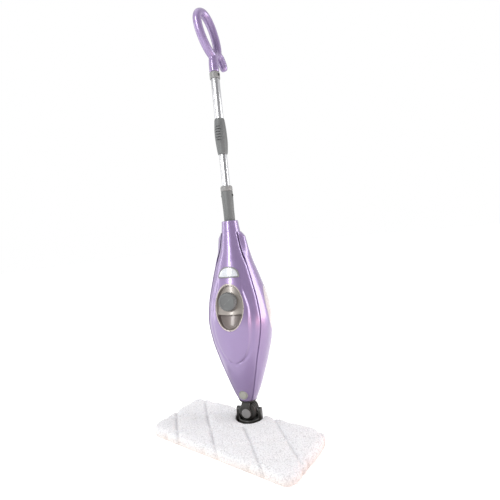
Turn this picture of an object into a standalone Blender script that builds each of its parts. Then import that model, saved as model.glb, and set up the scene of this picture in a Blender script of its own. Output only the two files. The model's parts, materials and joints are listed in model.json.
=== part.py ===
"""Steam mop with a wide flat head: pad, head, universal joint, steam unit, pump tubes and loop handle."""

import math

import bpy
from mathutils import Vector

# Driving dimensions, in metres.
# The pad's sole is centred on the origin, X runs along the pad, -Y is its front.
PAD_LENGTH, PAD_WIDTH, PAD_HEIGHT, PAD_CORNER = 0.465, 0.198, 0.030, 0.032
HEAD_INSET = 0.0115  # from the pad's edge to the rigid head's edge
SOLE_THICKNESS = 0.0068  # of the pad under the head
HEAD_TOP = 0.0236
GAP = 0.0003  # left between pieces that touch

MOP_AXIS_Y = 0.072  # the mop's upright axis stands near the head's back edge
MOP_TURN = math.radians(17)  # the steam unit faces a little towards +X at rest
HANDLE_TURN = 0.0  # the upper tube is turned in the middle grip, so that the loop lines up with the head
PIVOT_Z = 0.050  # both axes of the universal joint meet here
TURNTABLE_RADIUS = 0.033
RECESS_RADIUS = 0.0400
RECESS_FLOOR = 0.0145

BODY_BOTTOM, BODY_TOP = 0.0845, 0.562
NECK_TOP = 0.593
WALL = 0.0025
DEPTH_SHARE = 0.90  # body depth over body width
BODY_BULGE_BACK = 0.006  # how far the body's middle sits behind the mop's axis

TUBE_LOW_RADIUS, TUBE_HIGH_RADIUS, TUBE_WALL = 0.0111, 0.0122, 0.0012
SLEEVE_TOP = 0.676
GRIP_BOTTOM, GRIP_TOP = 0.778, 0.877
COLLAR_BOTTOM, COLLAR_TOP = 0.985, 1.002

LOOP_CENTRE = (-0.012, 1.099)  # y and z of the loop handle's centre, before the mop's placing
LOOP_LEAN = math.radians(26)
LOOP_HALF_LENGTH, LOOP_HALF_WIDTH = 0.0555, 0.0280
LOOP_BAR, LOOP_BAR_SIDE = 0.0085, 0.0097  # the bar's half sizes, in the loop's plane and across it

KNOB_Z, BADGE_Z, BUTTON_Z = 0.379, 0.455, 0.107
PANEL_LOW, PANEL_HIGH, PANEL_HALF_WIDTH = 0.300, 0.425, 0.041
TONGUE_TIP_Z, TONGUE_TOP_Z = 0.208, 0.440
KNOB_FACE_Y = -0.0656  # the panel's dished floor behind the cap
WINDOW_Y, WINDOW_Z = 0.0115, 0.3440
GLAND_Z, HOOK_Z = 0.200, 0.500
SCREW_PLACES = ((140, 0.135), (220, 0.135), (150, 0.440), (210, 0.440))  # degrees from the front, z
TUBE_BUTTON_Z, SNAP_Z = 0.6640, 0.9935
PIN_BORE = 0.0043  # radius of the holes for the joint's 4 mm pins

ROUND = 24  # sides of an ordinary round piece

MATERIALS = {
    "microfibre": ((0.88, 0.87, 0.88), 0.95, 0.0),
    "lavender": ((0.42, 0.33, 0.62), 0.28, 0.15),
    "dark_grey": ((0.10, 0.105, 0.105), 0.45, 0.0),
    "black": ((0.015, 0.014, 0.013), 0.35, 0.0),
    "mid_grey": ((0.19, 0.185, 0.18), 0.40, 0.0),
    "taupe": ((0.24, 0.20, 0.18), 0.35, 0.1),
    "grey_green": ((0.30, 0.30, 0.27), 0.40, 0.0),
    "badge_white": ((0.80, 0.82, 0.84), 0.25, 0.0),
    "clear_window": ((0.62, 0.60, 0.58), 0.15, 0.0),
    "aluminium": ((0.66, 0.66, 0.67), 0.28, 1.0),
    "steel": ((0.45, 0.45, 0.46), 0.35, 1.0),
    "brass": ((0.60, 0.43, 0.18), 0.30, 1.0),
    "silicone": ((0.55, 0.20, 0.14), 0.55, 0.0),
    "tank_plastic": ((0.70, 0.74, 0.76), 0.20, 0.0),
}


def clear_scene():
    for obj in list(bpy.data.objects):
        bpy.data.objects.remove(obj, do_unlink=True)


def material(name):
    """The Principled material of this name, made once from MATERIALS."""
    found = bpy.data.materials.get(name)
    if found:
        return found
    colour, roughness, metallic = MATERIALS[name]
    made = bpy.data.materials.new(name)
    made.use_nodes = True
    shader = made.node_tree.nodes["Principled BSDF"]
    shader.inputs["Base Color"].default_value = (*colour, 1.0)
    shader.inputs["Roughness"].default_value = roughness
    shader.inputs["Metallic"].default_value = metallic
    return made


def empty(name, location, turn=0.0, parent=None):
    obj = bpy.data.objects.new(name, None)
    bpy.context.scene.collection.objects.link(obj)
    obj.location = location
    obj.rotation_euler[2] = turn
    obj.parent = parent
    return obj


def solid(name, points, faces, look=None, frame=None):
    """A mesh object whose points are given in its frame's coordinates."""
    data = bpy.data.meshes.new(name)
    origin = Vector(frame.get("origin", (0, 0, 0))) if frame else Vector()
    data.from_pydata([Vector(p) - origin for p in points], [], faces)
    obj = bpy.data.objects.new(name, data)
    bpy.context.scene.collection.objects.link(obj)
    if frame:
        obj.parent = frame
    if look:
        data.materials.append(material(look))
    return obj


def loft(name, rings, look=None, frame=None, closed=False):
    """Joins rings of equal length; the ends are capped unless the rings close on themselves."""
    count = len(rings[0])
    points = [p for ring in rings for p in ring]
    faces = []
    last = len(rings) if closed else len(rings) - 1
    for i in range(last):
        a, b = i * count, ((i + 1) % len(rings)) * count
        for j in range(count):
            k = (j + 1) % count
            faces.append((a + j, a + k, b + k, b + j))
    if not closed:
        faces.append(tuple(reversed(range(count))))
        faces.append(tuple(range(len(points) - count, len(points))))
    return solid(name, points, faces, look, frame)


def circle(radius, z, centre=(0.0, 0.0), sides=ROUND, stretch=1.0):
    """A ring of points about +Z, counter-clockwise."""
    steps = [2 * math.pi * i / sides for i in range(sides)]
    return [
        (centre[0] + radius * math.cos(t), centre[1] + stretch * radius * math.sin(t), z)
        for t in steps
    ]


def turned(points, axis, centre):
    """Points made about +Z at the origin, laid along another axis through centre."""
    turn = Vector((0, 0, 1)).rotation_difference(Vector(axis))
    return [turn @ Vector(p) + Vector(centre) for p in points]


def lathe(name, profile, look=None, frame=None, axis=(0, 0, 1), centre=(0, 0, 0), sides=ROUND):
    """A solid turned from (radius, height) pairs listed from the bottom up."""
    rings = [turned(circle(r, z, sides=sides), axis, centre) for r, z in profile]
    return loft(name, rings, look, frame)


def pipe(name, outer, bore, look=None, frame=None, axis=(0, 0, 1), centre=(0, 0, 0), sides=ROUND):
    """A turned solid with a hole through it: outer is listed upwards and the bore's profile too."""
    profile = list(outer) + list(reversed(bore))
    rings = [turned(circle(r, z, sides=sides), axis, centre) for r, z in profile]
    return loft(name, rings, look, frame, closed=True)


def rod(name, radius, start, end, look=None, frame=None, sides=16):
    start, end = Vector(start), Vector(end)
    length = (end - start).length
    edge = min(radius * 0.15, 0.0006)
    profile = [(radius - edge, 0), (radius, edge), (radius, length - edge), (radius - edge, length)]
    return lathe(name, profile, look, frame, end - start, start, sides)


def rounded_rectangle(half_x, half_y, corner, z, steps=6):
    """A ring with round corners, counter-clockwise about +Z."""
    ring = []
    for quarter, (sx, sy) in enumerate(((1, 1), (-1, 1), (-1, -1), (1, -1))):
        for i in range(steps + 1):
            t = math.pi / 2 * (quarter + i / steps)
            x = sx * (half_x - corner) + corner * math.cos(t)
            y = sy * (half_y - corner) + corner * math.sin(t)
            ring.append((x, y, z))
    return ring


def plate(name, half_x, half_y, corner, low, high, look=None, frame=None, edge=0.0008):
    """A flat plate with round corners in plan and slightly eased edges."""
    levels = ((edge, low), (0, low + edge), (0, high - edge), (edge, high))
    rings = [rounded_rectangle(half_x - e, half_y - e, corner - e, z) for e, z in levels]
    return loft(name, rings, look, frame)


def block(name, low, high, look=None, frame=None, bevel=0.0):
    (x0, y0, z0), (x1, y1, z1) = low, high
    base = [(x0, y0), (x1, y0), (x1, y1), (x0, y1)]
    obj = loft(name, [[(x, y, z) for x, y in base] for z in (z0, z1)], look, frame)
    if bevel:
        made = obj.modifiers.new("eased edges", "BEVEL")
        made.width = bevel
        made.segments = 2
        made.limit_method = "ANGLE"
    return obj


def prism(name, outline, low, high, axis, look=None, frame=None):
    """An outline of (u, z) points pushed along "x" or "y"; u is y for "x" and x for "y"."""
    if axis == "x":
        rings = [[(d, u, z) for u, z in outline] for d in (low, high)]
    else:
        rings = [[(u, d, z) for u, z in reversed(outline)] for d in (low, high)]
    return loft(name, rings, look, frame)


def ellipse_outline(centre_u, centre_z, half_u, half_z, sides=36, square=1.0):
    """An ellipse, or with square under 1 a boxier one, counter-clockwise in (u, z)."""
    points = []
    for i in range(sides):
        t = 2 * math.pi * i / sides
        c, s = math.cos(t), math.sin(t)
        u = half_u * math.copysign(abs(c) ** square, c)
        z = half_z * math.copysign(abs(s) ** square, s)
        points.append((centre_u + u, centre_z + z))
    return points


def boolean(target, cutter, operation):
    """Adds an exact Boolean; the other object is kept as a hidden helper."""
    cutter.hide_render = True
    cutter.display_type = "WIRE"
    made = target.modifiers.new(cutter.name, "BOOLEAN")
    made.object = cutter
    made.operation = operation
    made.solver = "EXACT"


def cut(target, *cutters):
    for cutter in cutters:
        boolean(target, cutter, "DIFFERENCE")


def join(target, *others):
    for other in others:
        boolean(target, other, "UNION")


def keep_inside(target, cutter):
    boolean(target, cutter, "INTERSECT")


def smooth_between(stations, z):
    """A smooth value at z through (z, value) stations that never overshoots them."""
    if z <= stations[0][0]:
        return stations[0][1]
    if z >= stations[-1][0]:
        return stations[-1][1]
    slopes = [(b[1] - a[1]) / (b[0] - a[0]) for a, b in zip(stations, stations[1:])]
    tangents = [slopes[0]]
    for before, after in zip(slopes, slopes[1:]):
        tangents.append(0.0 if before * after <= 0 else 2 * before * after / (before + after))
    tangents.append(slopes[-1])
    i = max(k for k in range(len(slopes)) if stations[k][0] <= z)
    (z0, v0), (z1, v1) = stations[i], stations[i + 1]
    span = z1 - z0
    t = (z - z0) / span
    return (
        (2 * t**3 - 3 * t**2 + 1) * v0
        + (t**3 - 2 * t**2 + t) * span * tangents[i]
        + (3 * t**2 - 2 * t**3) * v1
        + (t**3 - t**2) * span * tangents[i + 1]
    )


# Half widths of the spindle-shaped steam unit from its bottom lip to its shoulder,
# what the front shell loses as it runs into the neck, and the seam's angle from the front.
BODY_STATIONS = (
    (BODY_BOTTOM, 0.0265), (0.110, 0.0385), (0.160, 0.0570), (0.210, 0.0735), (0.265, 0.0870),
    (0.316, 0.0925), (0.365, 0.0865), (0.430, 0.0690), (0.490, 0.0505), (BODY_TOP, 0.0370),
)
NECK_STATIONS = ((0.470, 0.0), (0.525, 0.0090), (BODY_TOP, 0.0105))
SEAM_STATIONS = ((BODY_BOTTOM, 44), (0.210, 47), (0.316, 55), (0.500, 57), (BODY_TOP, 60))


def half_width(z):
    return smooth_between(BODY_STATIONS, z)


def body_point(angle, z, inward=0.0, neck=False):
    """A point of the steam unit's skin, angle from the front towards +X, moved inwards by a distance."""
    width = half_width(z)
    depth = width * DEPTH_SHARE
    if neck:
        width -= smooth_between(NECK_STATIONS, z)
        depth = min(depth, width)
    lift = (z - BODY_BOTTOM) / (BODY_TOP - BODY_BOTTOM)
    middle = BODY_BULGE_BACK * math.sin(math.pi * min(max(lift, 0), 1))
    x = (width - inward) * math.sin(angle)
    y = middle - (depth - inward) * math.cos(angle)
    return (x, y, z)


def skin_plate(name, levels, edge, outer_in, inner_in, look=None, frame=None, neck=False, steps=18):
    """A curved plate of the body's skin between the angles edge(z), outer_in to inner_in deep."""
    rings = []
    for z in levels:
        first, last = edge(z)
        turns = [first + (last - first) * i / steps for i in range(steps + 1)]
        outer = [body_point(t, z, outer_in, neck) for t in turns]
        inner = [body_point(t, z, inner_in, neck) for t in reversed(turns)]
        rings.append(outer + inner)
    return loft(name, rings, look, frame)


def spread(low, high, count):
    return [low + (high - low) * i / count for i in range(count + 1)]


def seam_angle(z):
    return math.radians(smooth_between(SEAM_STATIONS, z))


# The head and its pad.


def make_pad(frame):
    levels = (
        (0.006, 0.0), (0.0018, 0.0030), (0.0, 0.0085), (0.0, 0.0205), (0.0022, 0.0265),
        (0.009, PAD_HEIGHT),
    )
    rings = [
        rounded_rectangle(PAD_LENGTH / 2 - e, PAD_WIDTH / 2 - e, PAD_CORNER - e, z) for e, z in levels
    ]
    pad = loft("cleaning_pad", rings, "microfibre", frame)
    half_x, half_y = PAD_LENGTH / 2 - HEAD_INSET, PAD_WIDTH / 2 - HEAD_INSET
    pocket = plate("pad_pocket", half_x, half_y, 0.022, SOLE_THICKNESS, HEAD_TOP + 0.0004)
    hole = lathe(
        "pad_hole",
        [(RECESS_RADIUS + 0.0012, SOLE_THICKNESS + 0.0004), (RECESS_RADIUS + 0.0012, 0.040)],
        centre=(0, MOP_AXIS_Y, 0),
    )
    cut(pad, pocket, hole)
    for helper in (pocket, hole):
        helper.parent = frame


def make_head(frame):
    half_x, half_y = PAD_LENGTH / 2 - HEAD_INSET - GAP, PAD_WIDTH / 2 - HEAD_INSET - GAP
    plate("head_plate", half_x, half_y, 0.021, SOLE_THICKNESS + GAP, 0.0112, "mid_grey", frame)
    cover = plate("head_cover", half_x, half_y, 0.021, 0.0115, HEAD_TOP, "taupe", frame, 0.0015)
    recess = lathe(
        "head_recess", [(RECESS_RADIUS, RECESS_FLOOR), (RECESS_RADIUS, 0.040)],
        centre=(0, MOP_AXIS_Y, 0),
    )
    spindle_hole = lathe("spindle_hole", [(0.0084, 0.005), (0.0084, 0.020)], centre=(0, MOP_AXIS_Y, 0))
    cavities = []
    for side, name in ((-1, "left"), (1, "right")):
        pocket = plate(f"head_cavity_{name}", 0.078, half_y - 0.004, 0.016, 0.008, HEAD_TOP - 0.0025)
        pocket.location.x = side * (half_x - 0.082)
        cavities.append(pocket)
    cut(cover, recess, spindle_hole, *cavities)
    for helper in (recess, spindle_hole, *cavities):
        helper.parent = frame
    for side, name in ((-1, "left"), (1, "right")):
        centre = side * (half_x - 0.082)
        rod(
            f"steam_rail_{name}", 0.0035, (centre - 0.070, 0, 0.0155), (centre + 0.070, 0, 0.0155),
            "silicone", frame,
        )


def make_turntable(frame):
    """The base that turns on the head and carries the ears of the universal joint."""
    floor = RECESS_FLOOR + GAP
    base = lathe(
        "swivel_base",
        [(0.0078, 0.0118), (0.0078, floor), (TURNTABLE_RADIUS, floor), (TURNTABLE_RADIUS, 0.0168)],
        "black",
        frame,
    )
    rim = pipe(
        "rim_wall",
        [(TURNTABLE_RADIUS - 0.0002, 0.0160), (TURNTABLE_RADIUS - 0.0002, 0.0295), (0.0315, 0.0312)],
        [(0.0296, 0.0160), (0.0296, 0.0308), (0.0302, 0.0312)],
        frame=frame,
    )
    join(base, rim)
    for side, name in ((-1, "left"), (1, "right")):
        inner, outer = side * 0.0288, side * 0.0366
        ear_top = [
            (0.0085 * math.cos(t), PIVOT_Z + 0.0078 * math.sin(t))
            for t in [math.pi * i / 10 for i in range(11)]
        ]
        outline = [(-0.0085, 0.0152), (0.0085, 0.0152)] + ear_top
        ear = prism(f"ear_{name}", outline, min(inner, outer), max(inner, outer), "x", frame=frame)
        join(base, ear)
        hole = lathe(
            f"ear_hole_{name}", [(PIN_BORE, 0), (PIN_BORE, 0.0072)], frame=frame,
            axis=(side, 0, 0), centre=(side * 0.0285, 0, PIVOT_Z), sides=20,
        )
        cut(base, hole)
        start, end = (side * 0.0215, 0, PIVOT_Z), (side * 0.0352, 0, PIVOT_Z)
        rod(f"recline_pin_{name}", 0.0040, start, end, "steel", frame)


def make_cross(frame):
    """The ribbed barrel: it reclines on the ears and the yoke tilts about it."""
    half, crest, groove = 0.0195, 0.0255, 0.0233
    profile = [(0.0205, -half), (0.0240, -half + 0.0022)]
    ribs = 4
    pitch = 2 * (half - 0.0030) / ribs
    for i in range(ribs):
        start = -half + 0.0030 + i * pitch
        profile += [
            (crest, start + 0.12 * pitch), (crest, start + 0.58 * pitch),
            (groove, start + 0.70 * pitch), (groove, start + 0.94 * pitch),
        ]
    profile = profile[:-2] + [(0.0240, half - 0.0022), (0.0205, half)]
    cross = lathe("swivel_cross", profile, "black", frame, (0, 1, 0), (0, 0, PIVOT_Z), 28)
    bore = lathe(
        "tilt_bore", [(PIN_BORE, -0.05), (PIN_BORE, 0.05)], None, frame, (0, 1, 0), (0, 0, PIVOT_Z),
        20,
    )
    cut(cross, bore)
    for side, name in ((-1, "left"), (1, "right")):
        socket = lathe(
            f"pin_socket_{name}", [(PIN_BORE, 0), (PIN_BORE, 0.02)], None, frame,
            (side, 0, 0), (side * 0.0205, 0, PIVOT_Z), 20,
        )
        cut(cross, socket)


def yoke_outline():
    """One arm of the yoke, from the neck plate down round the boss, in (x, z)."""
    boss = 0.0150
    turns = [math.radians(-225 + 270 * i / 22) for i in range(23)]
    ring = [(boss * math.cos(t), PIVOT_Z + boss * math.sin(t)) for t in turns]
    return [*ring, (0.0112, 0.0805), (-0.0112, 0.0805)]


def make_yoke(frame):
    yoke = lathe("joint_yoke", [(0.0224, 0.0790), (0.0224, 0.0835)], "black", frame)
    for name, low, high in (("front", -0.0256, -0.0201), ("rear", 0.0201, 0.0256)):
        arm = prism(f"yoke_arm_{name}", yoke_outline(), low, high, "y", frame=frame)
        join(yoke, arm)
    bore = lathe(
        "yoke_bore", [(PIN_BORE, -0.0250), (PIN_BORE, 0.0250)], None, frame, (0, 1, 0),
        (0, 0, PIVOT_Z), 20,
    )
    passage = lathe("steam_passage", [(0.0046, 0.070), (0.0046, 0.090)], None, frame, sides=20)
    cut(yoke, bore, passage)
    rod("tilt_pin", 0.0040, (0, -0.0246, PIVOT_Z), (0, 0.0246, PIVOT_Z), "steel", frame)
    for name, side in (("front", -1), ("rear", 1)):
        lathe(
            f"pivot_cap_{name}", [(0.0132, 0), (0.0132, 0.0013), (0.0121, 0.0021)], "mid_grey", frame,
            (0, side, 0), (0, side * 0.0259, PIVOT_Z), 28,
        )
    pipe(
        "lower_bezel",
        [(0.0245, 0.0809), (0.0262, 0.0818), (0.0262, BODY_BOTTOM - GAP)],
        [(0.0233, 0.0809), (0.0233, BODY_BOTTOM - GAP)],
        "black",
        frame,
    )


# The steam unit's shells and what is seen on them.


def tongue_outline():
    """The raised tongue's U, in (x, z): straight at the top, a pointed arch at the bottom."""
    half, side_z = 0.0530, 0.345
    lower = [
        (
            half * math.sin(math.pi * i / 24),
            side_z - (side_z - TONGUE_TIP_Z) * math.cos(math.pi * i / 24) ** 0.8,
        )
        for i in range(-12, 13)
    ]
    return [*lower, (half * 0.62, TONGUE_TOP_Z), (-half * 0.62, TONGUE_TOP_Z)]


def make_front_shell(frame):
    levels = spread(BODY_BOTTOM, BODY_TOP, 24)
    front = skin_plate(
        "front_shell", levels, lambda z: (-seam_angle(z), seam_angle(z)), 0.0, WALL, "lavender",
        frame, neck=True,
    )
    neck = pipe(
        "neck_tube",
        [
            (0.0268, 0.552), (0.0262, 0.565), (0.0242, 0.580), (0.0230, NECK_TOP - 0.001),
            (0.0222, NECK_TOP),
        ],
        [(0.0180, 0.552), (0.0180, NECK_TOP - 0.001), (0.0184, NECK_TOP)],
        frame=frame,
        sides=48,
    )
    join(front, neck)
    tongue = skin_plate(
        "tongue_plate", spread(0.190, 0.470, 18), lambda z: (-0.85, 0.85), -0.0014, 0.0015, None,
        frame, True, 18,
    )
    keep_inside(tongue, prism("tongue_shape", tongue_outline(), -0.12, 0.0, "y", frame=frame))
    join(front, tongue)
    middle = (PANEL_LOW + PANEL_HIGH) / 2
    opening = ellipse_outline(0, middle, PANEL_HALF_WIDTH, (PANEL_HIGH - PANEL_LOW) / 2)
    button_hole = ellipse_outline(0, BUTTON_Z, 0.0128, 0.0132, 28)
    cut(
        front,
        prism("panel_opening", opening, -0.12, -0.02, "y", frame=frame),
        prism("button_opening", button_hole, -0.06, -0.012, "y", frame=frame),
    )


def rear_edge(z):
    first = seam_angle(z) + 0.0004 / half_width(z)
    return first, 2 * math.pi - first


def make_rear_shell(frame):
    levels = [*spread(BODY_BOTTOM, 0.546, 22), 0.553, 0.557]
    rings = []
    steps = 24
    for z in levels:
        first, last = rear_edge(z)
        crown = max(0.0, (z - 0.546) / 0.011) ** 2 * 0.0030
        filled = min(max((z - 0.490) / 0.030, 0.0), 1.0)
        turns = [first + (last - first) * i / steps for i in range(steps + 1)]
        outer = [body_point(t, z, crown) for t in turns]
        inner = []
        for t in reversed(turns):
            thin = Vector(body_point(t, z, WALL))
            neck = Vector(body_point(t, z, -0.0006, True))
            inner.append(thin.lerp(neck, filled) if (neck - thin).dot(thin) < 0 else thin)
        rings.append(outer + inner)
    rear = loft("rear_shell", rings, "lavender", frame)
    back = body_point(math.pi, HOOK_Z)[1]
    join(
        rear,
        lathe(
            "hook_seat", [(0.0094, -0.0030), (0.0094, 0.0033)], None, frame, (0, 1, 0),
            (0, back, HOOK_Z), 20,
        ),
    )
    window_hole = ellipse_outline(WINDOW_Y, WINDOW_Z, 0.0245, 0.0610, 32)
    gland_hole = ellipse_outline(0, GLAND_Z, 0.0078, 0.0078, 24)
    cut(
        rear,
        prism("window_opening", window_hole, 0.030, 0.12, "x", frame=frame),
        prism("gland_opening", gland_hole, 0.02, 0.12, "y", frame=frame),
    )




def make_window(frame):
    edge = math.radians(50), math.radians(140)
    window = skin_plate(
        "water_window", spread(0.275, 0.412, 10), lambda z: edge, 0.0004, 0.0022, "clear_window",
        frame, steps=14,
    )
    shape = ellipse_outline(WINDOW_Y, WINDOW_Z, 0.0245 - GAP, 0.0610 - GAP, 32)
    keep_inside(window, prism("window_shape", shape, 0.030, 0.12, "x", frame=frame))


def make_filler_panel(frame):
    """The oval panel: a dished plate with a rim, a step across it and the filler's hole."""
    middle = (PANEL_LOW + PANEL_HIGH) / 2
    half_z = (PANEL_HIGH - PANEL_LOW) / 2
    shape = ellipse_outline(0, middle, PANEL_HALF_WIDTH - GAP, half_z - GAP)
    panel = skin_plate(
        "filler_panel", spread(0.292, 0.433, 12), lambda z: (-0.62, 0.62), -0.0022, 0.0100, "taupe",
        frame, True, 12,
    )
    keep_inside(panel, prism("panel_shape", shape, -0.12, -0.02, "y", frame=frame))
    dish = skin_plate(
        "panel_dish", spread(0.300, 0.424, 12), lambda z: (-0.6, 0.6), -0.02, 0.0068, None, frame,
        True, 12,
    )
    inside = ellipse_outline(0, middle, PANEL_HALF_WIDTH - 0.0030, half_z - 0.0030)
    keep_inside(dish, prism("dish_shape", inside, -0.13, -0.02, "y", frame=frame))
    hole = ellipse_outline(0, KNOB_Z, 0.0150, 0.0150, 28)
    cut(panel, dish, prism("filler_hole", hole, -0.13, -0.02, "y", frame=frame))




def make_cap(frame):
    """The water tank's cap, with its thread stem and gasket; it turns about Y."""
    sides = 40
    rings = []
    profile = [
        (0.0205, 0.0), (0.0228, 0.0010), (0.0232, 0.0040), (0.0225, 0.0125), (0.0205, 0.0148),
        (0.0150, 0.0158),
    ]
    for radius, height in profile:
        grip = 0.0007 if 0.0005 < height < 0.0140 else 0.0
        ring = []
        for i in range(sides * 2):
            t = math.pi * i / sides
            r = radius - grip * (i % 2)
            ring.append((r * math.cos(t), r * math.sin(t), height))
        rings.append(turned(ring, (0, -1, 0), (0, KNOB_FACE_Y - 0.0010, KNOB_Z)))
    cap = loft("water_cap", rings, "dark_grey", frame)
    stem = lathe(
        "cap_stem", [(0.0105, -0.0135), (0.0105, 0.004)], None, frame, (0, -1, 0),
        (0, KNOB_FACE_Y, KNOB_Z), 28,
    )
    join(cap, stem)
    pipe(
        "cap_gasket", [(0.0140, -0.0060), (0.0140, -0.0030)],
        [(0.0109, -0.0060), (0.0109, -0.0030)], "silicone",
        frame, (0, -1, 0), (0, KNOB_FACE_Y, KNOB_Z), 28,
    )


def make_badge(frame):
    """A blank badge: domed above, flat below, in a raised rim."""
    half, low, high = 0.0300, BADGE_Z - 0.0150, BADGE_Z + 0.0150

    def outline(shrink):
        arch = [
            ((half - shrink) * math.cos(t), low + 0.004 + (high - low - 0.004 - shrink) * math.sin(t))
            for t in [math.pi * i / 16 for i in range(17)]
        ]
        return [(-half + shrink, low + shrink), (half - shrink, low + shrink), *arch]

    rim = skin_plate(
        "badge_rim", spread(0.430, 0.480, 8), lambda z: (-0.62, 0.62), -0.0030, -0.0004, "mid_grey",
        frame, True, 14,
    )
    keep_inside(rim, prism("badge_rim_shape", outline(0.0), -0.12, -0.01, "y", frame=frame))
    cut(rim, prism("badge_window", outline(0.0028), -0.12, -0.01, "y", frame=frame))
    face = skin_plate(
        "badge", spread(0.430, 0.480, 8), lambda z: (-0.62, 0.62), -0.0024, -0.0004, "badge_white",
        frame, True, 14,
    )
    keep_inside(face, prism("badge_shape", outline(0.0031), -0.12, -0.01, "y", frame=frame))


def make_release_button(frame):
    y_face = body_point(0, BUTTON_Z)[1]
    pipe(
        "button_ring", [(0.0126, 0.0), (0.0126, 0.0058)], [(0.0107, 0.0), (0.0107, 0.0058)],
        "grey_green",
        frame, (0, -1, 0), (0, y_face + 0.0040, BUTTON_Z), 28,
    )
    lathe(
        "release_button",
        [(0.0060, -0.006), (0.0060, 0), (0.0103, 0), (0.0103, 0.0040), (0.0088, 0.0050)],
        "grey_green", frame, (0, -1, 0), (0, y_face + 0.0020, BUTTON_Z), 28,
    )
    spring("button_spring", (0, y_face + 0.0085, BUTTON_Z), (0, 1, 0), 0.0040, 0.0006, 0.0070, 3, frame)


def spring(name, start, axis, radius, wire, length, turns, frame, sides=5, steps=10):
    """A coil spring as one swept helix."""
    rings = []
    count = turns * steps
    axis = Vector(axis)
    turn = Vector((0, 0, 1)).rotation_difference(axis)
    slope = length / (turns * 2 * math.pi * radius)
    for i in range(count + 1):
        t = 2 * math.pi * i / steps
        out = Vector((math.cos(t), math.sin(t), 0))
        along = Vector((-math.sin(t), math.cos(t), slope)).normalized()
        across = along.cross(out)
        centre = out * radius + Vector((0, 0, length * i / count))
        ring = []
        for k in range(sides):
            a = 2 * math.pi * k / sides
            p = centre + out * wire * math.cos(a) + across * wire * math.sin(a)
            ring.append(turn @ p + Vector(start))
        rings.append(ring)
    return loft(name, rings, "steel", frame)


# What the steam unit holds inside.


def make_inside(frame):
    tank_levels = spread(0.262, 0.425, 6)
    tank_rings = []
    for z in tank_levels:
        half = half_width(z) - 0.012
        ring = [
            (half * 0.96 * math.sin(t), 0.012 - (half * DEPTH_SHARE - 0.020) * math.cos(t) * 0.92, z)
            for t in [2 * math.pi * i / 28 for i in range(28)]
        ]
        tank_rings.append(list(ring))
    tank = loft("water_tank", tank_rings, "tank_plastic", frame)
    neck_bore = lathe(
        "tank_mouth", [(0.0118, 0), (0.0118, 0.05)], None, frame, (0, 1, 0), (0, -0.070, KNOB_Z),
        24,
    )
    cut(tank, neck_bore)
    pipe(
        "tank_neck", [(0.0142, 0.0), (0.0142, 0.0240)], [(0.0121, 0.0), (0.0121, 0.0240)],
        "tank_plastic",
        frame, (0, 1, 0), (0, -0.0575, KNOB_Z), 24,
    )
    lathe(
        "boiler", [(0.020, 0.150), (0.022, 0.153), (0.022, 0.213), (0.020, 0.216)], "aluminium",
        frame, centre=(0, 0.004, 0),
    )
    rod("heating_element", 0.0038, (0.0265, 0.004, 0.152), (0.0265, 0.004, 0.214), "steel", frame)
    rod("thermostat", 0.0080, (-0.0225, 0.004, 0.183), (-0.0300, 0.004, 0.183), "steel", frame)
    rod("thermal_fuse", 0.0022, (0, 0.0285, 0.165), (0, 0.0285, 0.190), "brass", frame)
    block(
        "terminal_block", (-0.012, -0.040, 0.160), (0.012, -0.028, 0.178), "badge_white", frame,
        0.0008,
    )
    rod("steam_pipe", 0.0040, (0, 0, 0.0795), (0, 0, 0.1495), "silicone", frame)
    rod("feed_pipe", 0.0030, (0, 0.004, 0.2165), (0, 0.004, 0.2350), "silicone", frame)
    lathe(
        "check_valve", [(0.0060, 0.2353), (0.0080, 0.238), (0.0080, 0.250), (0.0060, 0.2530)],
        "brass", frame, centre=(0, 0.004, 0),
    )


def make_pump(frame):
    """A hand pump above the tank: pushing the handle down drives its piston."""
    low, high = 0.4300, 0.5060
    barrel = lathe("pump_cylinder", [(0.0115, low), (0.0115, high)], "mid_grey", frame)
    cut(barrel, lathe("pump_bore", [(0.0086, low + 0.004), (0.0086, high + 0.01)], None, frame))
    lathe("pump_piston", [(0.0083, 0.4750), (0.0083, 0.4830)], "silicone", frame)
    lathe(
        "pump_rod", [(0.0034, 0.4833), (0.0034, 0.5570), (0.0140, 0.5570), (0.0140, 0.5596)],
        "steel", frame, sides=16,
    )
    spring("return_spring", (0, 0, 0.5072), (0, 0, 1), 0.0075, 0.0009, 0.0485, 6, frame)


def make_rear_fittings(frame):
    y_back = body_point(math.pi, GLAND_Z)[1]
    pipe(
        "cord_gland",
        [(0.0074, -0.006), (0.0074, 0.0), (0.0100, 0.0004), (0.0085, 0.0060), (0.0062, 0.0200)],
        [(0.0040, -0.006), (0.0040, 0.0200)],
        "black",
        frame,
        (0, 1, 0),
        (0, y_back + 0.0038, GLAND_Z),
        24,
    )
    back = body_point(math.pi, HOOK_Z)[1]
    hook = lathe(
        "cord_hook", [(0.0090, 0.0036), (0.0090, 0.0075), (0.0050, 0.0095), (0.0050, 0.0300)],
        "dark_grey",
        frame, (0, 1, 0), (0, back, HOOK_Z), 20,
    )
    tip = block(
        "hook_tip", (-0.0080, back + 0.0270, HOOK_Z - 0.030),
        (0.0080, back + 0.0325, HOOK_Z + 0.0065), None, frame, 0.0018,
    )
    join(hook, tip)
    for number, (angle, z) in enumerate(SCREW_PLACES, start=1):
        t = math.radians(angle)
        spot = Vector(body_point(t, z, -GAP))
        out = Vector((math.sin(t), -math.cos(t), 0))
        screw = lathe(
            f"shell_screw_{number}", [(0.0036, 0.0), (0.0036, 0.0008), (0.0022, 0.0016)], "steel",
            frame,
            tuple(out), tuple(spot + out * 0.0009), 16,
        )
        slot_cut = block(
            f"screw_slot_{number}", (-0.006, -0.0004, 0.0009), (0.006, 0.0004, 0.0030), None, frame,
        )
        slot_cut.matrix_local = Vector((0, 0, 1)).rotation_difference(out).to_matrix().to_4x4()
        slot_cut.location = spot + out * 0.0009
        cut(screw, slot_cut)


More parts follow.
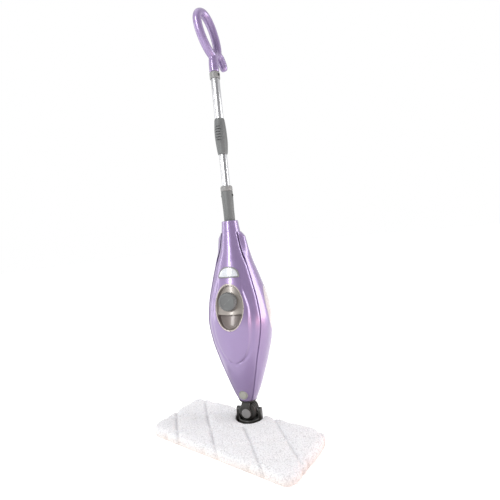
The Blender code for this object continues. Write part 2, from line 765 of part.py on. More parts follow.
# The tubes, the middle grip and the loop handle.


def make_tubes(frame):
    bore = TUBE_LOW_RADIUS + GAP
    sleeve = pipe(
        "pump_sleeve",
        [(0.0152, 0.5600), (0.0155, 0.5610), (0.0155, 0.6200), (0.0166, 0.6740), (0.0160, SLEEVE_TOP)],
        [(bore, 0.5600), (bore, SLEEVE_TOP)],
        "dark_grey",
        frame,
    )
    for side, name in ((-1, "left"), (1, "right")):
        slot = lathe(
            f"tube_button_slot_{name}", [(0.0042, 0), (0.0042, 0.03)], None, frame, (side, 0, 0),
            (0, 0, TUBE_BUTTON_Z), 20,
        )
        cut(sleeve, slot)
    pipe(
        "lower_collar",
        [(0.0163, SLEEVE_TOP + GAP), (0.0170, 0.6780), (0.0166, 0.6880), (0.0140, 0.6910)],
        [(bore, SLEEVE_TOP + GAP), (bore, 0.6910)],
        "mid_grey",
        frame,
    )
    lower = pipe(
        "lower_tube",
        [(TUBE_LOW_RADIUS, 0.5620), (TUBE_LOW_RADIUS, 0.7950)],
        [(TUBE_LOW_RADIUS - TUBE_WALL, 0.5620), (TUBE_LOW_RADIUS - TUBE_WALL, 0.7950)],
        "aluminium",
        frame,
    )
    for side, name in ((-1, "left"), (1, "right")):
        slot = lathe(
            f"tube_hole_{name}", [(0.0036, 0), (0.0036, 0.03)], None, frame, (side, 0, 0),
            (0, 0, TUBE_BUTTON_Z), 20,
        )
        cut(lower, slot)
        lathe(
            f"tube_button_{name}", [(0.0033, 0.0062), (0.0033, 0.0166), (0.0026, 0.0178)], "black",
            frame,
            (side, 0, 0), (0, 0, TUBE_BUTTON_Z), 20,
        )


def make_upper_tube(frame):
    """The upper tube, with the collar and snap button that hold the loop handle on it."""
    tube = pipe(
        "upper_tube",
        [(TUBE_HIGH_RADIUS, 0.8620), (TUBE_HIGH_RADIUS, 1.0160)],
        [(TUBE_HIGH_RADIUS - TUBE_WALL, 0.8620), (TUBE_HIGH_RADIUS - TUBE_WALL, 1.0160)],
        "aluminium",
        frame,
    )
    collar_bore = TUBE_HIGH_RADIUS + GAP
    collar = pipe(
        "upper_collar",
        [(0.0138, COLLAR_BOTTOM), (0.0144, 0.9870), (0.0144, 1.0010), (0.0138, COLLAR_TOP)],
        [(collar_bore, COLLAR_BOTTOM), (collar_bore, COLLAR_TOP)],
        "mid_grey",
        frame,
    )
    snap_hole = lathe(
        "snap_hole", [(0.0039, 0), (0.0039, 0.03)], None, frame, (1, 0, 0), (0, 0, SNAP_Z), 20,
    )
    tube_snap_hole = lathe(
        "tube_snap_hole", [(0.0039, 0), (0.0039, 0.03)], None, frame, (1, 0, 0), (0, 0, SNAP_Z), 20,
    )
    cut(collar, snap_hole)
    cut(tube, tube_snap_hole)
    lathe(
        "snap_button", [(0.0035, 0.0075), (0.0035, 0.0152), (0.0028, 0.0162)], "black", frame,
        (1, 0, 0), (0, 0, SNAP_Z), 20,
    )


def make_grip(frame):
    """The middle grip joins both tubes: it swells to the front above and to the back below."""
    rings = []
    steps = 22
    for i in range(steps + 1):
        z = GRIP_BOTTOM + (GRIP_TOP - GRIP_BOTTOM) * i / steps
        share = i / steps
        front = 0.0140 + 0.0052 * math.sin(math.pi * share) ** 2 + 0.0022 * math.exp(
            -((share - 0.72) / 0.16) ** 2,
        )
        rear = 0.0140 + 0.0040 * math.sin(math.pi * share) + 0.0030 * math.exp(
            -((share - 0.30) / 0.18) ** 2,
        )
        side = 0.0138 + 0.0030 * math.sin(math.pi * share)
        if i in (0, steps):
            front, rear, side = front - 0.0012, rear - 0.0012, side - 0.0012
        ring = []
        for k in range(24):
            t = 2 * math.pi * k / 24
            reach = rear if math.sin(t) > 0 else front
            ring.append((side * math.cos(t), reach * math.sin(t), z))
        rings.append(ring)
    grip = loft("mid_grip", rings, "dark_grey", frame)
    low_bore = lathe(
        "grip_low_bore", [(TUBE_LOW_RADIUS + GAP, 0.700), (TUBE_LOW_RADIUS + GAP, 0.7965)], None,
        frame,
    )
    high_bore = lathe(
        "grip_high_bore", [(TUBE_HIGH_RADIUS + GAP, 0.8605), (TUBE_HIGH_RADIUS + GAP, 0.95)], None,
        frame,
    )
    cut(grip, low_bore, high_bore)
    for i in range(6):
        z = 0.8150 + 0.0072 * i
        cut(
            grip,
            block(f"grip_groove_{i}", (-0.03, -0.04, z), (0.03, -0.0150, z + 0.0028), None, frame),
        )


def loop_point(turn, push, side):
    """A point of the loop's bar: turn goes round it, push is outwards in its plane, side along X."""
    lengthwise, across = math.cos(turn), math.sin(turn)
    wide = LOOP_HALF_WIDTH * (1 + 0.10 * lengthwise)
    along = (LOOP_HALF_LENGTH + push) * lengthwise
    over = (wide + push) * math.copysign(abs(across) ** 0.82, across)
    y = LOOP_CENTRE[0] - along * math.sin(LOOP_LEAN) + over * math.cos(LOOP_LEAN)
    z = LOOP_CENTRE[1] + along * math.cos(LOOP_LEAN) + over * math.sin(LOOP_LEAN)
    return (side, y, z)


def sweep_flat(name, centres, radii, width, frame, sides=16):
    """A bar through (y, z) centres with rounded section, width along X, ends closed."""
    rings = []
    for i, (y, z) in enumerate(centres):
        before, after = centres[max(i - 1, 0)], centres[min(i + 1, len(centres) - 1)]
        along = Vector((0, after[0] - before[0], after[1] - before[1])).normalized()
        over = along.cross(Vector((1, 0, 0)))
        ring = []
        for k in range(sides):
            t = 2 * math.pi * k / sides
            ring.append(Vector((width[i] * math.cos(t), y, z)) + over * radii[i] * math.sin(t))
        rings.append(ring)
    return loft(name, rings, None, frame)


def make_handle(frame):
    """The loop handle is moulded in two halves that meet on the mop's middle plane."""
    for side, name in ((-1, "left"), (1, "right")):
        rings = []
        for i in range(56):
            turn = 2 * math.pi * i / 56
            ring = []
            for k in range(16):
                t = 2 * math.pi * k / 16
                ring.append(loop_point(turn, LOOP_BAR * math.cos(t), LOOP_BAR_SIDE * math.sin(t)))
            rings.append(ring)
        half = loft(f"handle_{name}", rings, "lavender", frame, closed=True)
        stem = lathe(
            f"handle_stem_{name}",
            [
                (0.0122, COLLAR_TOP + GAP), (0.0136, 1.0060), (0.0128, 1.0300), (0.0108, 1.0520),
                (0.0070, 1.0610),
            ],
            None, frame,
        )
        tail_line = [
            (0.0245, 1.0570), (0.0345, 1.0470), (0.0420, 1.0350), (0.0470, 1.0240),
            (0.0485, 1.0205),
        ]
        tail = sweep_flat(
            f"handle_tail_{name}", tail_line, (0.0075, 0.0080, 0.0072, 0.0060, 0.0030),
            (0.0098, 0.0100, 0.0095, 0.0080, 0.0040), frame,
        )
        join(half, stem, tail)
        socket = lathe(
            f"handle_socket_{name}",
            [(TUBE_HIGH_RADIUS + GAP, 0.990), (TUBE_HIGH_RADIUS + GAP, 1.0170)], None, frame,
        )
        other = -side
        away = block(
            f"handle_other_side_{name}", (min(other * 0.05, -other * 0.0002), -0.2, 0.9),
            (max(other * 0.05, -other * 0.0002), 0.2, 1.3), None, frame,
        )
        cut(half, socket, away)


def main():
    clear_scene()
    head = empty("head_frame", (0, 0, 0))
    mop = empty("mop_frame", (0, MOP_AXIS_Y, 0), MOP_TURN)
    upper = empty("upper_frame", (0, MOP_AXIS_Y, 0), HANDLE_TURN)
    make_pad(head)
    make_head(head)
    make_turntable(mop)
    make_cross(mop)
    make_yoke(mop)
    make_front_shell(mop)
    make_rear_shell(mop)
    make_window(mop)
    make_filler_panel(mop)
    make_cap(mop)
    make_badge(mop)
    make_release_button(mop)
    make_inside(mop)
    make_pump(mop)
    make_rear_fittings(mop)
    make_tubes(mop)
    make_grip(mop)
    make_upper_tube(upper)
    make_handle(upper)


main()
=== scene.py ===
"""Looks of the steam mop: quilted pad by cloth simulation, shells, tubes, joint, studio and camera."""

import json
import math

import bmesh
import bpy
from mathutils import Matrix, Vector, noise


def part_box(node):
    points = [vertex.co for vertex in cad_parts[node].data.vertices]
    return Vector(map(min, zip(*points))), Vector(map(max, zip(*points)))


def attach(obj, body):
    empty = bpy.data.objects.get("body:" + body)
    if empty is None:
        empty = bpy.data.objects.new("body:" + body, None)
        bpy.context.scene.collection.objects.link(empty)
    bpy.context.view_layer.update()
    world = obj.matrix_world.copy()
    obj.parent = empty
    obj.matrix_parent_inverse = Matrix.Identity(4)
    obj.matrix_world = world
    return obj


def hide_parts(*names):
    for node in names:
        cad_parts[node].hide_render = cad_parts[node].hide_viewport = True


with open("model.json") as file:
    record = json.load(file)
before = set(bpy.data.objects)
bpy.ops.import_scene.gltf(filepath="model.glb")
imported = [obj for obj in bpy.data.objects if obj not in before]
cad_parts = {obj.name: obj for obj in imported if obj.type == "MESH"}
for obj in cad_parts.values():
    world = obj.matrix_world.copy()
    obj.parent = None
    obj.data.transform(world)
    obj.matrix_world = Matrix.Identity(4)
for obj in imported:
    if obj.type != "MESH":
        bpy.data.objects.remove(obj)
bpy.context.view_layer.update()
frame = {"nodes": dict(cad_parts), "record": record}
NODES = frame["nodes"]
BODY_OF = {n: b for b, members in frame["record"]["behaviour"]["bodies"].items() for n in members}
SLOT_OF = {part["node"]: part["material_slot"] for part in frame["record"]["subparts"]}

# The mop's own frame: upright axis, and the turn of the steam unit about it.
AXIS_Y = 0.072
MOP_TURN = math.radians(17)
MOP_FRAME = Matrix.Translation((0, AXIS_Y, 0)) @ Matrix.Rotation(MOP_TURN, 4, "Z")

# The steam unit's outline, in metres.
BODY_BOTTOM, BODY_TOP, NECK_TOP = 0.0845, 0.562, 0.593
WALL, DEPTH_SHARE, BULGE_BACK, BEAD_REACH = 0.0025, 0.90, 0.006, 0.0042
SHOULDER_Z, HOOK_Z, HOOK_SEAT, GLAND_Z = 0.546, 0.500, 0.0094, 0.200
BODY_STATIONS = (
    (BODY_BOTTOM, 0.0265), (0.110, 0.0385), (0.160, 0.0570), (0.210, 0.0735), (0.265, 0.0870),
    (0.316, 0.0925), (0.365, 0.0865), (0.430, 0.0690), (0.490, 0.0505), (BODY_TOP, 0.0370),
)
NECK_STATIONS = ((0.470, 0.0), (0.525, 0.0090), (BODY_TOP, 0.0105))
NECK_PROFILE = (
    (0.0268, 0.552), (0.0262, 0.565), (0.0242, 0.580), (0.0230, NECK_TOP - 0.0010), (0.0222, NECK_TOP),
)
NECK_BORE = [(0.0184, NECK_TOP), (0.0180, NECK_TOP - 0.0010), (0.0180, 0.552)]
SEAM_STATIONS = ((BODY_BOTTOM, 44), (0.210, 47), (0.316, 55), (0.500, 57), (BODY_TOP, 60))
PANEL_LOW, PANEL_HIGH, PANEL_HALF_WIDTH = 0.300, 0.425, 0.041
PANEL_RIM, PANEL_GAP, PANEL_BACK = 0.0016, 0.0004, 0.0125
PANEL_MIDDLE, PANEL_HALF_HEIGHT = (PANEL_LOW + PANEL_HIGH) / 2, (PANEL_HIGH - PANEL_LOW) / 2
TONGUE_TIP_Z, TONGUE_SIDE_Z, TONGUE_TOP_Z, TONGUE_HALF = 0.208, 0.345, 0.440, 0.053
TONGUE_HEIGHT, VALLEY_DEPTH, KEEL_HEIGHT = 0.0028, 0.0020, 0.0010
FRONT_BEAD, REAR_BEAD, SEAM_GAP, CASING_EDGE = 0.0012, 0.0009, 0.0004, 0.0006
BUTTON_Z, BUTTON_HOLE, GLAND_HOLE = 0.107, (0.0128, 0.0132), 0.0078
LOOP_CENTRE, LOOP_LEAN = (-0.012, 1.099), math.radians(26)
LOOP_HALF_LENGTH, LOOP_HALF_WIDTH, LOOP_BAR = 0.0555, 0.0280, (0.0112, 0.0120)
KNOB_Z, KNOB_FACE_Y, PANEL_HOLE, STEP_Z = 0.379, -0.0656, 0.0150, 0.3420
FLUTES, FLUTE_DEPTH, KNOB_SCALE = 20, 0.0013, 1.07
WINDOW_Y, WINDOW_Z, WINDOW_HALF_Y, WINDOW_HALF_Z = 0.0115, 0.344, 0.0245, 0.061

# Copies of hard CAD nodes keep edges sharper than this, in degrees, and ease them.
SHARP_DEGREES = 28.0

# Camera: a wide lens close by, a little above the steam unit's middle, rolled a few degrees.
CAMERA_AT = Vector((0.6273, -0.7013, 0.5520))
CAMERA_YAW, CAMERA_PITCH, CAMERA_ROLL = 36.27, 2.64, -5.78
CAMERA_LENS, SENSOR = 25.4, 36.0

# The studio is darkest at this azimuth, in degrees from the front towards +X.
DARK_SIDE, FLOOR_HALF = 55, 14.0

# The pad: skin round the head, radius of the joint opening, and how far cloth may swell or be sewn in.
PAD_SKIN, PAD_HOLE, MOST_SWELL, SEAM_DEPTH = 0.0098, 0.0412, 0.0060, 0.0044
PAD_VOXEL, HANDLE_VOXEL, CLOTH_FRAMES = 0.0030, 0.0012, 20

# Quilting: two families of sewn lines on the pad, as (direction in degrees, spacing, offset).
QUILT_LINES = ((34.0, 0.080, 0.012), (-41.0, 0.089, 0.028))


# ---------------------------------------------------------------- materials


def new_material(name, base, roughness, metallic=0.0, **sockets):
    """A Principled material; extra keywords set the shader's own sockets."""
    made = bpy.data.materials.new(name)
    made.use_nodes = True
    tree = made.node_tree
    shader = tree.nodes["Principled BSDF"]
    shader.inputs["Base Color"].default_value = (*base, 1.0)
    shader.inputs["Roughness"].default_value = roughness
    shader.inputs["Metallic"].default_value = metallic
    for key, value in sockets.items():
        shader.inputs[key.replace("_", " ").title()].default_value = value
    made.diffuse_color = (*base, 1.0)
    return made, tree, shader


def object_coordinates(tree, scale=(1, 1, 1)):
    where = tree.nodes.new("ShaderNodeTexCoord")
    mapping = tree.nodes.new("ShaderNodeMapping")
    mapping.inputs["Scale"].default_value = scale
    tree.links.new(where.outputs["Object"], mapping.inputs["Vector"])
    return mapping.outputs["Vector"]


def noise_texture(tree, vector, scale, detail=3.0, roughness=0.5):
    made = tree.nodes.new("ShaderNodeTexNoise")
    made.inputs["Scale"].default_value = scale
    made.inputs["Detail"].default_value = detail
    made.inputs["Roughness"].default_value = roughness
    tree.links.new(vector, made.inputs["Vector"])
    return made.outputs["Fac"]


def ramp(tree, value, stops):
    made = tree.nodes.new("ShaderNodeValToRGB")
    elements = made.color_ramp.elements
    while len(elements) < len(stops):
        elements.new(0.5)
    for element, (place, colour) in zip(elements, stops):
        element.position = place
        element.color = (*colour, 1.0)
    tree.links.new(value, made.inputs["Fac"])
    return made.outputs["Color"]


def shades(base, spread):
    """Darker and lighter versions of a colour."""
    return [tuple(min(1.0, c * k) for c in base) for k in (1 - spread, 1.0, 1 + spread)]


def mottled(tree, value, base, spread):
    """A colour that wanders a little round its base."""
    return ramp(tree, value, list(zip((0.3, 0.5, 0.7), shades(base, spread))))


def set_colour(tree, shader, colour):
    """Feeds a colour socket to the shader."""
    tree.links.new(colour, shader.inputs["Base Color"])


def vary_roughness(tree, shader, value, low, high):
    tree.links.new(remap(tree, value, low, high), shader.inputs["Roughness"])


def mix_colours(tree, factor, first, second, blend="MIX"):
    """Mixes two colours; factor is a number or a socket, second a colour or a socket."""
    mix = tree.nodes.new("ShaderNodeMix")
    mix.data_type = "RGBA"
    mix.blend_type = blend
    if isinstance(factor, float):
        mix.inputs["Factor"].default_value = factor
    else:
        tree.links.new(factor, mix.inputs["Factor"])
    tree.links.new(first, mix.inputs["A"])
    if isinstance(second, tuple):
        mix.inputs["B"].default_value = (*second, 1.0)
    else:
        tree.links.new(second, mix.inputs["B"])
    return mix.outputs["Result"]


def height_above_floor(tree, vector):
    parts = tree.nodes.new("ShaderNodeSeparateXYZ")
    tree.links.new(vector, parts.inputs["Vector"])
    return parts.outputs["Z"]


def remap(tree, value, low, high):
    made = tree.nodes.new("ShaderNodeMapRange")
    made.inputs["To Min"].default_value = low
    made.inputs["To Max"].default_value = high
    tree.links.new(value, made.inputs["Value"])
    return made.outputs["Result"]


def bump(tree, shader, height, strength, distance):
    """Relief from a height, on the shader's normal."""
    made = tree.nodes.new("ShaderNodeBump")
    made.inputs["Strength"].default_value = strength
    made.inputs["Distance"].default_value = distance
    tree.links.new(height, made.inputs["Height"])
    tree.links.new(made.outputs["Normal"], shader.inputs["Normal"])


def worn_edges(tree, colour, worn, amount):
    """Mixes a worn colour in where the mesh has convex edges."""
    geometry = tree.nodes.new("ShaderNodeNewGeometry")
    mask = tree.nodes.new("ShaderNodeMapRange")
    mask.inputs["From Min"].default_value = 0.53
    mask.inputs["From Max"].default_value = 0.62
    mask.inputs["To Max"].default_value = amount
    tree.links.new(geometry.outputs["Pointiness"], mask.inputs["Value"])
    return mix_colours(tree, mask.outputs["Result"], colour, worn)


def moulded_plastic(name, base, roughness, wear=0.25, **sockets):
    """Injection-moulded plastic: faint mottling, fine grain, slightly paler edges."""
    made, tree, shader = new_material(name, base, roughness, **sockets)
    where = object_coordinates(tree)
    colour = mottled(tree, noise_texture(tree, where, 14.0, 4.0), base, 0.06)
    paler = tuple(min(1.0, c * 1.35 + 0.02) for c in base)
    set_colour(tree, shader, worn_edges(tree, colour, paler, wear))
    smudge = noise_texture(tree, where, 60.0, 5.0)
    vary_roughness(tree, shader, smudge, roughness * 0.85, roughness * 1.15)
    bump(tree, shader, noise_texture(tree, where, 900.0, 2.0), 0.35, 0.00006)
    return made


def pearl_lavender():
    """Pearl paint on plastic: violet base with fine flake and a clear glossy coat."""
    base = (0.235, 0.170, 0.320)
    made, tree, shader = new_material(
        "pearl_lavender", base, 0.34, 0.45, coat_weight=0.80, coat_roughness=0.12
    )
    where = object_coordinates(tree)
    cloud = noise_texture(tree, where, 5.0, 3.0)
    colour = ramp(tree, cloud, list(zip((0.25, 0.5, 0.75), shades(base, 0.06))))
    flake = tree.nodes.new("ShaderNodeTexVoronoi")
    flake.inputs["Scale"].default_value = 1900.0
    tree.links.new(where, flake.inputs["Vector"])
    glint = ramp(tree, flake.outputs["Distance"], ((0.0, (1.10, 1.05, 1.12)), (0.6, (0.94, 0.94, 0.95))))
    set_colour(tree, shader, mix_colours(tree, 0.8, colour, glint, "MULTIPLY"))
    vary_roughness(tree, shader, noise_texture(tree, where, 40.0, 4.0), 0.29, 0.37)
    bump(tree, shader, noise_texture(tree, where, 160.0, 2.0), 0.12, 0.00005)
    return made


def drawn_aluminium():
    """Anodised tube with fine lines along its length."""
    base = (0.520, 0.520, 0.535)
    made, tree, shader = new_material("drawn_aluminium", base, 0.34, 1.0, anisotropic=0.45)
    lines = object_coordinates(tree, (900.0, 900.0, 6.0))
    streak = noise_texture(tree, lines, 1.0, 3.0)
    set_colour(tree, shader, mottled(tree, streak, base, 0.07))
    vary_roughness(tree, shader, streak, 0.24, 0.36)
    bump(tree, shader, streak, 0.25, 0.00003)
    return made


def plain_metal(name, base, roughness):
    """Bare metal with cloudy polish."""
    made, tree, shader = new_material(name, base, roughness, 1.0)
    where = object_coordinates(tree)
    cloud = noise_texture(tree, where, 120.0, 4.0)
    set_colour(tree, shader, mottled(tree, cloud, base, 0.12))
    vary_roughness(tree, shader, cloud, roughness * 0.8, roughness * 1.3)
    bump(tree, shader, noise_texture(tree, where, 700.0, 2.0), 0.2, 0.00004)
    return made


def taupe_with_painted_scoop_shade():
    """The oval panel: a paler seat for the cap above the step, and below it a darker scoop whose colour is
    painted shade under the step.
    """
    made, tree, shader = new_material("taupe_plastic", (0.20, 0.175, 0.16), 0.34, 0.30, coat_weight=0.3)
    where = object_coordinates(tree)
    above_step = tree.nodes.new("ShaderNodeMapRange")
    above_step.inputs["From Min"].default_value = STEP_Z - 0.0010
    above_step.inputs["From Max"].default_value = STEP_Z + 0.0004
    tree.links.new(height_above_floor(tree, where), above_step.inputs["Value"])
    cloud = noise_texture(tree, where, 30.0, 4.0)
    # Painted shade: the scoop below the step is given a darker taupe where the step's shadow falls.
    scoop = mottled(tree, cloud, (0.105, 0.086, 0.080), 0.08)
    seat = mottled(tree, cloud, (0.250, 0.225, 0.205), 0.06)
    colour = mix_colours(tree, above_step.outputs["Result"], scoop, seat)
    set_colour(tree, shader, worn_edges(tree, colour, (0.42, 0.38, 0.35), 0.4))
    vary_roughness(tree, shader, noise_texture(tree, where, 70.0, 5.0), 0.29, 0.40)
    bump(tree, shader, noise_texture(tree, where, 800.0, 2.0), 0.3, 0.00005)
    return made


def grip_rubber():
    """Soft-touch dark grey plastic with a fine pebbled grain."""
    base = (0.100, 0.104, 0.104)
    made, tree, shader = new_material("soft_touch_grey", base, 0.50)
    where = object_coordinates(tree)
    pebble = tree.nodes.new("ShaderNodeTexVoronoi")
    pebble.inputs["Scale"].default_value = 700.0
    tree.links.new(where, pebble.inputs["Vector"])
    cloud = noise_texture(tree, where, 20.0, 4.0)
    colour = mottled(tree, cloud, base, 0.10)
    set_colour(tree, shader, worn_edges(tree, colour, (0.19, 0.19, 0.19), 0.5))
    vary_roughness(tree, shader, cloud, 0.44, 0.58)
    bump(tree, shader, pebble.outputs["Distance"], 0.3, 0.0001)
    return made


def microfibre():
    """White looped pile: twisted tufts, soft painted shade between them, a painted warm floor bounce low down
    and a strong sheen.
    """
    base = (0.66, 0.655, 0.67)
    made, tree, shader = new_material("white_microfibre", base, 0.95, sheen_weight=0.30, sheen_roughness=0.55)
    shader.inputs["Subsurface Weight"].default_value = 0.10
    shader.inputs["Subsurface Radius"].default_value = (0.004, 0.003, 0.0025)
    where = object_coordinates(tree)
    tuft = tree.nodes.new("ShaderNodeTexVoronoi")
    tuft.inputs["Scale"].default_value = 330.0
    tuft.inputs["Randomness"].default_value = 0.9
    tree.links.new(where, tuft.inputs["Vector"])
    fibre = noise_texture(tree, where, 1300.0, 3.0, 0.7)
    wander = noise_texture(tree, where, 75.0, 4.0)
    height = tree.nodes.new("ShaderNodeMath")
    height.operation = "MULTIPLY_ADD"
    tree.links.new(tuft.outputs["Distance"], height.inputs[0])
    height.inputs[1].default_value = -1.2
    tree.links.new(wander, height.inputs[2])
    with_fibre = tree.nodes.new("ShaderNodeMath")
    with_fibre.operation = "MULTIPLY_ADD"
    tree.links.new(fibre, with_fibre.inputs[0])
    with_fibre.inputs[1].default_value = 0.4
    tree.links.new(height.outputs[0], with_fibre.inputs[2])
    # Painted shade in the hollows between the tufts and a painted highlight on their tops.
    shade = ramp(
        tree, tuft.outputs["Distance"],
        ((0.0, (0.75, 0.745, 0.755)), (0.45, base), (0.95, (0.46, 0.45, 0.46))),
    )
    # Painted warm floor bounce: the pile is tinted warm and darker towards the floor, as if lit by light
    # thrown up from it.
    floor_bounce_mask = tree.nodes.new("ShaderNodeMapRange")
    floor_bounce_mask.inputs["From Min"].default_value = 0.026
    floor_bounce_mask.inputs["From Max"].default_value = 0.004
    floor_bounce_mask.inputs["To Max"].default_value = 0.55
    tree.links.new(height_above_floor(tree, where), floor_bounce_mask.inputs["Value"])
    painted_floor_bounce = (0.93, 0.76, 0.63)
    set_colour(tree, shader, mix_colours(tree, floor_bounce_mask.outputs["Result"], shade, painted_floor_bounce, "MULTIPLY"))
    bump(tree, shader, with_fibre.outputs[0], 0.9, 0.0011)
    return made


def make_materials():
    return {
        "lavender_plastic": pearl_lavender(),
        "microfibre_pad": microfibre(),
        "tube_aluminium": drawn_aluminium(),
        "dark_grey_plastic": grip_rubber(),
        "black_plastic": moulded_plastic("black_joint_plastic", (0.016, 0.015, 0.013), 0.38, wear=0.5),
        "mid_grey_plastic": moulded_plastic("mid_grey_plastic", (0.170, 0.168, 0.166), 0.42, wear=0.3),
        "taupe_plastic": taupe_with_painted_scoop_shade(),
        "trim": moulded_plastic("pale_trim", (0.42, 0.375, 0.345), 0.28, metallic=0.5, wear=0.4),
        "grey_green_plastic": moulded_plastic("grey_green_plastic", (0.270, 0.265, 0.235), 0.42),
        "badge_face": moulded_plastic("badge_face", (0.52, 0.54, 0.57), 0.22, metallic=0.2, coat_weight=0.6),
        "window_plastic": moulded_plastic(
            "water_window_plastic", (0.56, 0.52, 0.515), 0.16, coat_weight=0.5, transmission_weight=0.15
        ),
        "steel": plain_metal("steel", (0.45, 0.45, 0.46), 0.32),
        "brass": plain_metal("brass", (0.60, 0.43, 0.18), 0.30),
        "silicone": moulded_plastic("red_silicone", (0.48, 0.16, 0.11), 0.55),
        "tank_plastic": moulded_plastic("tank_plastic", (0.66, 0.70, 0.73), 0.20),
    }


MATERIALS = make_materials()


# ---------------------------------------------------------------- mesh helpers


def add_piece(name, mesh, body, slot, *replaced, material=None):
    """Links a new visible piece under its body, with its slot's material, and hides the CAD nodes that it
    stands for.
    """
    obj = bpy.data.objects.new(name, mesh)
    bpy.context.scene.collection.objects.link(obj)
    mesh.materials.clear()
    mesh.materials.append(material or MATERIALS[slot])
    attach(obj, body)
    if replaced:
        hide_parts(*replaced)
    return obj


def mesh_from(name, points, faces, placed=True):
    """A mesh from points; placed ones are given in the mop's own frame."""
    mesh = bpy.data.meshes.new(name)
    mesh.from_pydata([tuple(p) for p in points], [], faces)
    if placed:
        mesh.transform(MOP_FRAME)
    return mesh


def loft_mesh(name, rings, closed=False, placed=True):
    """Joins rings of equal length, counter-clockwise about the way they go; open ends are capped."""
    count = len(rings[0])
    points = [p for ring in rings for p in ring]
    faces = []
    for i in range(len(rings) if closed else len(rings) - 1):
        a, b = i * count, ((i + 1) % len(rings)) * count
        faces += [(a + j, a + (j + 1) % count, b + (j + 1) % count, b + j) for j in range(count)]
    if not closed:
        faces.append(tuple(reversed(range(count))))
        faces.append(tuple(range(len(points) - count, len(points))))
    return mesh_from(name, points, faces, placed)


def settle(obj):
    """Applies the object's modifiers to its mesh."""
    graph = bpy.context.evaluated_depsgraph_get()
    graph.update()
    mesh = bpy.data.meshes.new_from_object(obj.evaluated_get(graph))
    obj.modifiers.clear()
    old = obj.data
    obj.data = mesh
    bpy.data.meshes.remove(old)


def outward(mesh):
    """Turns all faces of a closed mesh outwards."""
    work = bmesh.new()
    work.from_mesh(mesh)
    bmesh.ops.recalc_face_normals(work, faces=work.faces)
    work.to_mesh(mesh)
    work.free()
    return mesh


def shade_by_angle(mesh, degrees):
    """Smooth faces, with a sharp edge wherever two of them meet at a larger angle."""
    work = bmesh.new()
    work.from_mesh(mesh)
    limit = math.radians(degrees)
    for face in work.faces:
        face.smooth = True
    for edge in work.edges:
        edge.smooth = len(edge.link_faces) == 2 and edge.calc_face_angle(0.0) < limit
    work.to_mesh(mesh)
    work.free()


def ease_edges(obj, width, degrees=SHARP_DEGREES):
    """Rounds the sharp edges, so that they catch the light as moulded ones do."""
    made = obj.modifiers.new("eased edges", "BEVEL")
    made.width = width
    made.segments = 2
    made.limit_method = "ANGLE"
    made.angle_limit = math.radians(degrees)
    made.harden_normals = False
    settle(obj)
    shade_by_angle(obj.data, degrees)


def scratch(mesh):
    """A working object for the mesh, not yet a visible piece."""
    obj = bpy.data.objects.new(mesh.name, mesh)
    bpy.context.scene.collection.objects.link(obj)
    return obj


def taken_mesh(obj):
    """The mesh of a working object, which goes."""
    mesh = obj.data
    bpy.data.objects.remove(obj)
    return mesh


def combine(obj, other, operation):
    """Cuts, joins or trims the object by another, which goes."""
    made = obj.modifiers.new("combine", "BOOLEAN")
    made.object = other
    made.operation = operation
    made.solver = "EXACT"
    settle(obj)
    bpy.data.meshes.remove(taken_mesh(other))


def remeshed(obj, voxel, rounds=0):
    """Rebuilds the surface on a voxel grid, then smooths it by that many rounds."""
    made = obj.modifiers.new("remesh", "REMESH")
    made.mode = "VOXEL"
    made.voxel_size = voxel
    if rounds:
        made = obj.modifiers.new("smooth", "SMOOTH")
        made.factor = 0.5
        made.iterations = rounds
    settle(obj)


def prism_cutter(name, outline, low, high, axis):
    """An outline of (u, z) points pushed along the mop frame's x or y, as a working object."""
    if axis == "x":
        rings = [[(d, u, z) for u, z in outline] for d in (low, high)]
    else:
        rings = [[(u, d, z) for u, z in reversed(outline)] for d in (low, high)]
    return scratch(loft_mesh(name, rings))


def full_turn(sides):
    return [2 * math.pi * i / sides for i in range(sides)]


def ellipse_outline(centre_u, centre_z, half_u, half_z, sides=96):
    return [(centre_u + half_u * math.cos(t), centre_z + half_z * math.sin(t)) for t in full_turn(sides)]


def spread(low, high, count):
    """Evenly spaced values from low to high, both included."""
    return [low + (high - low) * i / count for i in range(count + 1)]


def share_of(value, low, high):
    """0 at low, 1 at high, straight between them."""
    return min(max((value - low) / (high - low), 0.0), 1.0)


def smooth_step(value, low, high):
    t = share_of(value, low, high)
    return t * t * (3 - 2 * t)


# ---------------------------------------------------------------- the steam unit's shape


def smooth_between(stations, z):
    """A smooth value at z through (z, value) stations that never overshoots them."""
    if z <= stations[0][0]:
        return stations[0][1]
    if z >= stations[-1][0]:
        return stations[-1][1]
    slopes = [(b[1] - a[1]) / (b[0] - a[0]) for a, b in zip(stations, stations[1:])]
    tangents = [slopes[0]]
    for before, after in zip(slopes, slopes[1:]):
        tangents.append(0.0 if before * after <= 0 else 2 * before * after / (before + after))
    tangents.append(slopes[-1])
    i = max(k for k in range(len(slopes)) if stations[k][0] <= z)
    (z0, v0), (z1, v1) = stations[i], stations[i + 1]
    span = z1 - z0
    t = (z - z0) / span
    start = (2 * t**3 - 3 * t**2 + 1) * v0 + (t**3 - 2 * t**2 + t) * span * tangents[i]
    return start + (3 * t**2 - 2 * t**3) * v1 + (t**3 - t**2) * span * tangents[i + 1]


def half_width(z):
    """Half the steam unit's width at z."""
    return smooth_between(BODY_STATIONS, z)


def body_point(angle, z, inward=0.0, neck=False):
    """A point of the steam unit's skin, angle from the front towards +X, moved inwards."""
    width = half_width(z)
    depth = width * DEPTH_SHARE
    if neck:
        width -= smooth_between(NECK_STATIONS, z)
        depth = min(depth, width)
    middle = BULGE_BACK * math.sin(math.pi * share_of(z, BODY_BOTTOM, BODY_TOP))
    return ((width - inward) * math.sin(angle), middle - (depth - inward) * math.cos(angle), z)


def seam_angle(z):
    return math.radians(smooth_between(SEAM_STATIONS, z))


